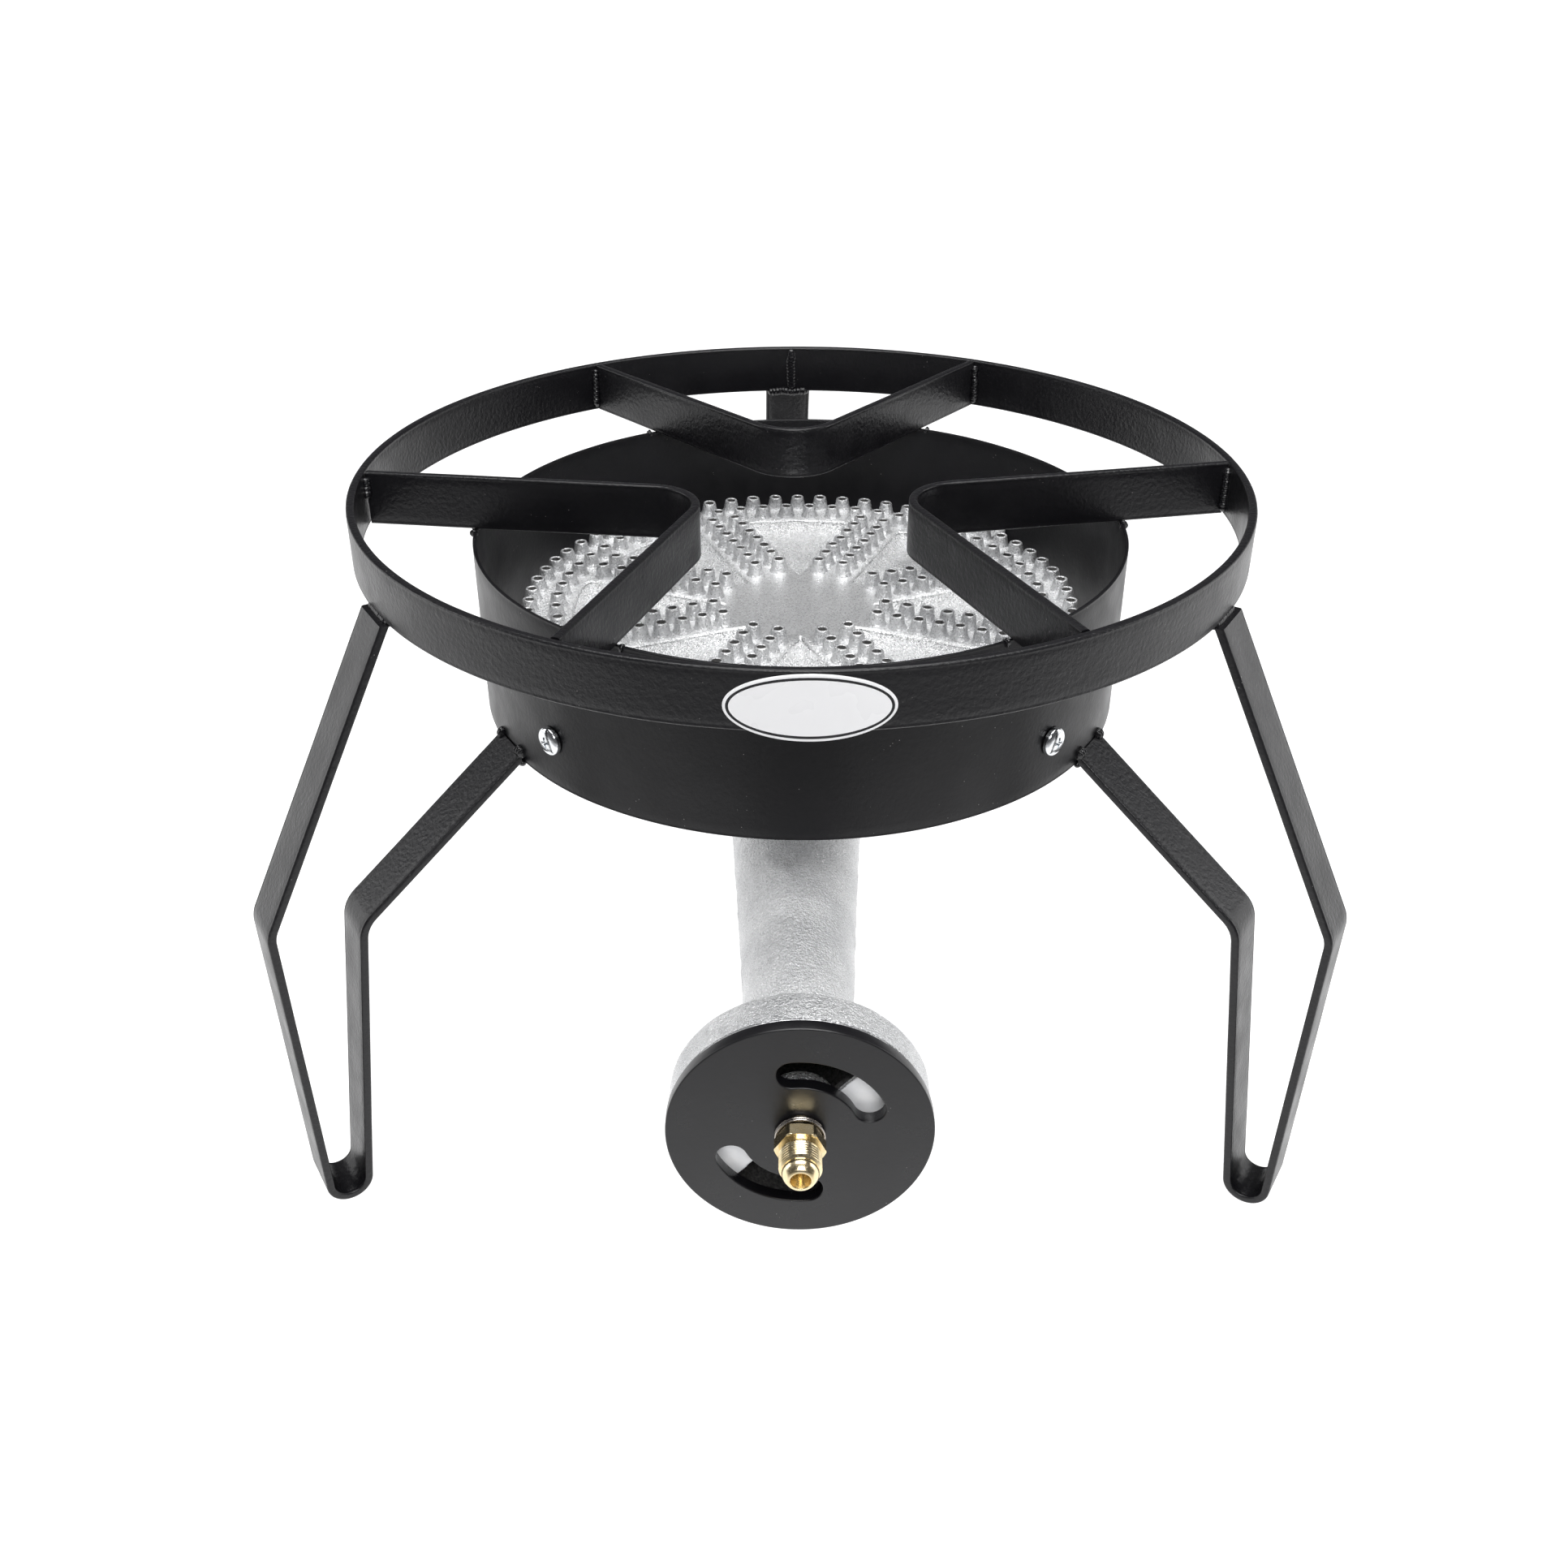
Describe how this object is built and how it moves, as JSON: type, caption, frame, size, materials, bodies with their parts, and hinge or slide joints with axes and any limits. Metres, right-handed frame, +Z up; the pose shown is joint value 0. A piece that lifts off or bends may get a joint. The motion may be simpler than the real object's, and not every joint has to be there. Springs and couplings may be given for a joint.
{
  "type": "propane burner stand",
  "caption": "Welded flat-bar stand whose ring and V supports carry a pot over a cast gas burner with a wind guard and a turning air shutter.",
  "frame": {"origin": "centre of the stand's bounding box, on the ground", "axes": "+Z up, -Y towards the gas inlet and air shutter, +X to the right as seen from in front of the inlet"},
  "size_m": [0.481, 0.562, 0.3175],
  "materials": {
    "pot_ring": "satin black powder coat with orange peel",
    "pot_support_back": "satin black powder coat with orange peel",
    "pot_support_left": "satin black powder coat with orange peel",
    "pot_support_right": "satin black powder coat with orange peel",
    "wind_guard": "satin black powder coat with orange peel",
    "leg_back": "satin black powder coat with orange peel",
    "leg_left": "satin black powder coat with orange peel",
    "leg_right": "satin black powder coat with orange peel",
    "burner_casting": "rough sand casting in silver heat-proof paint",
    "guard_screw_1": "bright zinc plate",
    "guard_screw_2": "bright zinc plate",
    "guard_screw_3": "bright zinc plate",
    "guard_screw_4": "bright zinc plate",
    "guard_nut_1": "bright zinc plate",
    "guard_nut_2": "bright zinc plate",
    "guard_nut_3": "bright zinc plate",
    "guard_nut_4": "bright zinc plate",
    "air_shutter": "semi-gloss black enamel",
    "shutter_spring": "bright spring wire",
    "inlet_fitting": "machined brass, polished",
    "orifice_jet": "machined brass",
    "badge_plate": "white enamel with a thin black line"
  },
  "bodies": {
    "stand": {"pot_ring": "pot_ring", "pot_support_back": "pot_support_back", "pot_support_left": "pot_support_left", "pot_support_right": "pot_support_right", "wind_guard": "wind_guard", "leg_back": "leg_back", "leg_left": "leg_left", "leg_right": "leg_right", "burner_casting": "burner_casting", "guard_screw_1": "guard_screw_1", "guard_screw_2": "guard_screw_2", "guard_screw_3": "guard_screw_3", "guard_screw_4": "guard_screw_4", "guard_nut_1": "guard_nut_1", "guard_nut_2": "guard_nut_2", "guard_nut_3": "guard_nut_3", "guard_nut_4": "guard_nut_4", "shutter_spring": "shutter_spring", "inlet_fitting": "inlet_fitting", "orifice_jet": "orifice_jet", "badge_plate": "badge_plate"},
    "shutter": {"air_shutter": "air_shutter"}
  },
  "joints": [
    {"name": "shutter_turn", "type": "hinge", "parent": "stand", "child": "shutter", "pos_m": [-0.0017, -0.2542, 0.1589], "axis": [0, -1, 0], "continuous": true}
  ]
}
